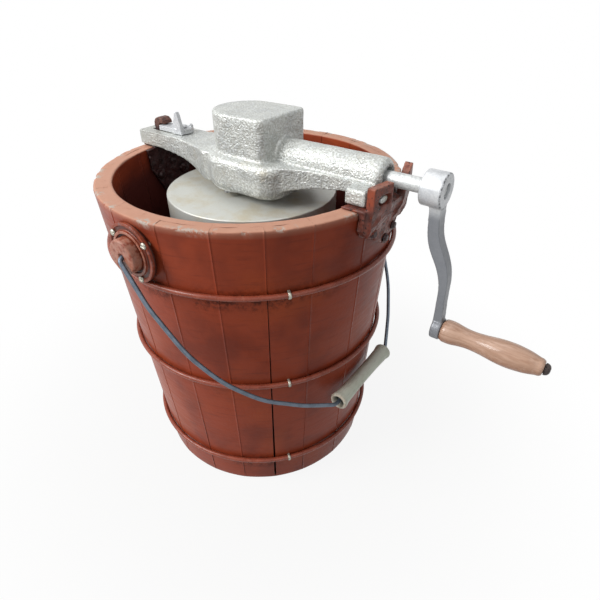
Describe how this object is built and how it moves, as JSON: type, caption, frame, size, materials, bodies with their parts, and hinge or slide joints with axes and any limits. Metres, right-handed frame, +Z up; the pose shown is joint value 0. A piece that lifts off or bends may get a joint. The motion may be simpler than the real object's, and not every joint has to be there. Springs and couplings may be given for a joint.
{
  "type": "hand crank ice cream freezer",
  "caption": "Wooden staved tub with wire hoops, an inner metal can and dasher, a cast gear frame across the rim, a side crank with a wooden handle, and a wire bail.",
  "frame": {"origin": "middle of the whole object's footprint box, on the ground plane that the staves stand on; the tub's axis is 68.5 mm from it towards -X", "axes": "+Z up along the tub's axis, +X along the crank shaft towards the crank, Y along the line of the two bail ears"},
  "size_m": [0.403, 0.2918, 0.338],
  "materials": {
    "tub_paint": "worn red-brown gloss paint on wood",
    "hoop_paint": "red-brown paint on steel",
    "bracket_paint": "thick red-brown paint on rough rusty casting",
    "bare_zinc": "dull zinc plate",
    "frame_paint": "aluminium paint on sand casting",
    "gear_iron": "greased cast iron",
    "plain_steel": "plain steel",
    "dark_steel": "dark oxidised steel",
    "bush_brass": "dull brass",
    "tin_plate": "aged tin plate",
    "tinned_iron": "tinned casting",
    "bare_wood": "bare wood",
    "handle_wood": "old varnish worn by hands",
    "wire_steel": "blue-grey drawn wire",
    "grip_paint": "faded cream-green paint"
  },
  "bodies": {
    "tub": {"tub_stave_01": "tub_paint", "tub_stave_02": "tub_paint", "tub_stave_03": "tub_paint", "tub_stave_04": "tub_paint", "tub_stave_05": "tub_paint", "tub_stave_06": "tub_paint", "tub_stave_07": "tub_paint", "tub_stave_08": "tub_paint", "tub_stave_09": "tub_paint", "tub_stave_10": "tub_paint", "tub_stave_11": "tub_paint", "tub_stave_12": "tub_paint", "tub_stave_13": "tub_paint", "tub_stave_14": "tub_paint", "tub_stave_15": "tub_paint", "tub_stave_16": "tub_paint", "tub_stave_17": "tub_paint", "tub_stave_18": "tub_paint", "tub_bottom": "tub_paint", "hoop_top": "hoop_paint", "hoop_middle": "hoop_paint", "hoop_bottom": "hoop_paint", "hoop_staples": "bare_zinc", "bail_ear_front": "hoop_paint", "bail_ear_rear": "hoop_paint", "ear_screws": "bare_zinc", "crank_side_bracket": "bracket_paint", "latch_side_bracket": "bracket_paint", "bracket_screws": "bare_zinc", "gear_frame": "frame_paint", "gear_axle_pin": "plain_steel", "keeper_plate": "frame_paint", "keeper_screws": "bare_zinc", "inner_bush": "bush_brass", "outer_bush": "bush_brass", "latch_rivet": "frame_paint", "can_pivot_plate": "gear_iron", "pivot_plate_screws": "bare_zinc"},
    "crank": {"crank_shaft": "frame_paint", "pinion_pin": "plain_steel", "drive_pinion": "gear_iron", "crank_arm": "frame_paint", "handle_pin": "dark_steel"},
    "crank_handle": {"crank_grip": "handle_wood"},
    "can": {"can_shell": "tin_plate", "can_bottom": "tin_plate", "can_lid": "tin_plate", "lid_band": "tin_plate", "lid_boss": "tin_plate", "can_foot": "gear_iron", "can_gear": "gear_iron"},
    "dasher": {"dasher_stem": "tinned_iron", "dasher_frame": "tinned_iron", "scraper_left": "bare_wood", "scraper_right": "bare_wood", "scraper_rivets": "plain_steel", "dasher_gear": "gear_iron"},
    "bail": {"bail_wire": "wire_steel"},
    "bail_handle": {"bail_grip": "grip_paint"},
    "latch": {"latch_lever": "frame_paint"}
  },
  "joints": [
    {"name": "crank_turn", "type": "hinge", "parent": "tub", "child": "crank", "pos_m": [0.0515, 0, 0.3067], "axis": [1, 0, 0], "continuous": true},
    {"name": "crank_handle_spin", "type": "hinge", "parent": "crank", "child": "crank_handle", "pos_m": [0.1615, 0, 0.1975], "axis": [1, 0, 0], "continuous": true},
    {"name": "can_turn", "type": "hinge", "parent": "tub", "child": "can", "pos_m": [-0.0685, 0, 0.15], "axis": [0, 0, 1], "continuous": true},
    {"name": "dasher_turn", "type": "hinge", "parent": "tub", "child": "dasher", "pos_m": [-0.0685, 0, 0.15], "axis": [0, 0, 1], "continuous": true},
    {"name": "bail_swing", "type": "hinge", "parent": "tub", "child": "bail", "pos_m": [-0.0685, 0, 0.262], "axis": [0, -1, 0], "range_deg": [0, 22]},
    {"name": "bail_handle_spin", "type": "hinge", "parent": "bail", "child": "bail_handle", "pos_m": [0.05781, 0, 0.11147], "axis": [0, 1, 0], "continuous": true},
    {"name": "latch_swivel", "type": "hinge", "parent": "tub", "child": "latch", "pos_m": [-0.1525, 0, 0.307], "axis": [0, 0, 1], "range_deg": [0, 100]}
  ],
  "couplings": [
    {"joint": "can_turn", "follows": "crank_turn", "ratio": 0.5},
    {"joint": "dasher_turn", "follows": "crank_turn", "ratio": -0.5}
  ]
}
